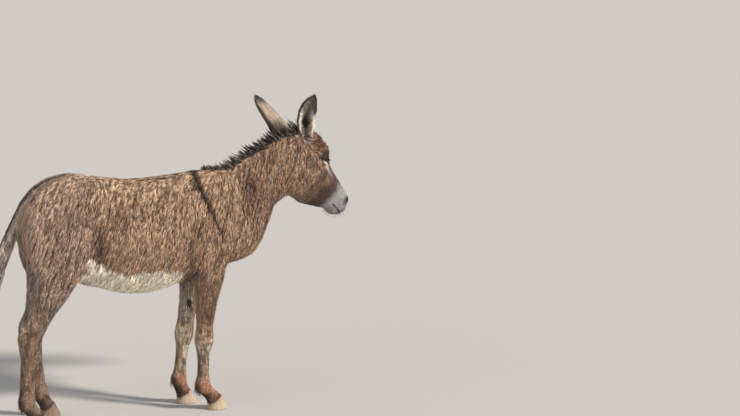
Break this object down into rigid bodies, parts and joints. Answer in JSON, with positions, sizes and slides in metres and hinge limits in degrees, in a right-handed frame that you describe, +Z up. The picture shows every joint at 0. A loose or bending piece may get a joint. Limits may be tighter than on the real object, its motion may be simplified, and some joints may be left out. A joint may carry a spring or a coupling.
{
  "type": "donkey",
  "caption": "Life-size standing young donkey with a shaggy brown coat, pale belly and muzzle, dark shoulder cross, upright dark mane and long ears, its head turned slightly to its left.",
  "frame": {"origin": "on the floor, under the middle of the animal's outline", "axes": "+X forwards, from tail to head; +Y to the animal's left; +Z up"},
  "size_m": [1.7492, 0.4006, 1.3868],
  "materials": {
    "coat": "shaggy warm brown hair, matt, cream below",
    "coat_neck": "long grey-brown hair, matt, pale at the muzzle and round the eyes",
    "coat_leg": "short grey-brown hair with darker bands",
    "ear": "short tan hair, dark rim and tip, pale hair inside",
    "mane": "coarse near-black upright hair",
    "hoof": "dull horn with growth rings",
    "eye": "wet dark brown"
  },
  "bodies": {
    "root": {"trunk": "coat", "neck": "coat_neck", "head": "coat_neck", "ear_left": "ear", "ear_right": "ear", "eye_left": "eye", "eye_right": "eye", "mane": "mane", "tail_dock": "coat", "tail_switch": "mane", "forearm_fore_left": "coat", "cannon_fore_left": "coat_leg", "pastern_fore_left": "coat_leg", "hoof_fore_left": "hoof", "forearm_fore_right": "coat", "cannon_fore_right": "coat_leg", "pastern_fore_right": "coat_leg", "hoof_fore_right": "hoof", "thigh_hind_left": "coat", "gaskin_hind_left": "coat", "cannon_hind_left": "coat_leg", "pastern_hind_left": "coat_leg", "hoof_hind_left": "hoof", "thigh_hind_right": "coat", "gaskin_hind_right": "coat", "cannon_hind_right": "coat_leg", "pastern_hind_right": "coat_leg", "hoof_hind_right": "hoof"}
  },
  "joints": []
}
